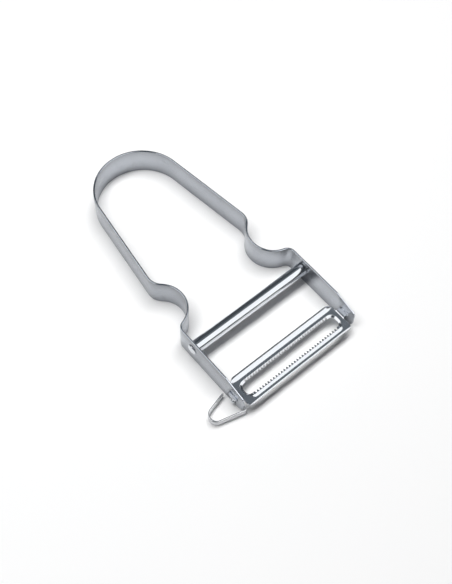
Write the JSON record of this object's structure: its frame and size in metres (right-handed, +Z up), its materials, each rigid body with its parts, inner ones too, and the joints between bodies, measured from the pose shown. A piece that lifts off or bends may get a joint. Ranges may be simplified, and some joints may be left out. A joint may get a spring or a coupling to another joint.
{
  "type": "serrated vegetable peeler",
  "caption": "Bow-shaped steel peeler: a bent strip with finger waists holds a cross bar, a rocking slotted blade with fine teeth and a looped eye remover.",
  "frame": {"origin": "middle of the object's box, at the level of the strip's lower edge", "axes": "+Y from the blade to the top of the arch, +X to the right leg, away from the eye remover, +Z up through the strip's width"},
  "size_m": [0.0706, 0.1198, 0.013],
  "materials": {
    "satin_strip": "satin rolled stainless strip",
    "polished_bar": "polished round stainless bar",
    "polished_blade": "polished hardened stainless sheet",
    "eye_strip": "satin narrow stainless strip",
    "polished_rivet": "bright stainless rivet"
  },
  "bodies": {
    "handle": {"handle_strip": "satin_strip", "cross_bar": "polished_bar", "eye_remover": "eye_strip", "eye_remover_rivet": "polished_rivet"},
    "blade": {"swivel_blade": "polished_blade"}
  },
  "joints": [
    {"name": "blade_swivel", "type": "hinge", "parent": "handle", "child": "blade", "pos_m": [0.00495, -0.05275, 0.0065], "axis": [1, 0, 0], "range_deg": [-25, 25]}
  ]
}
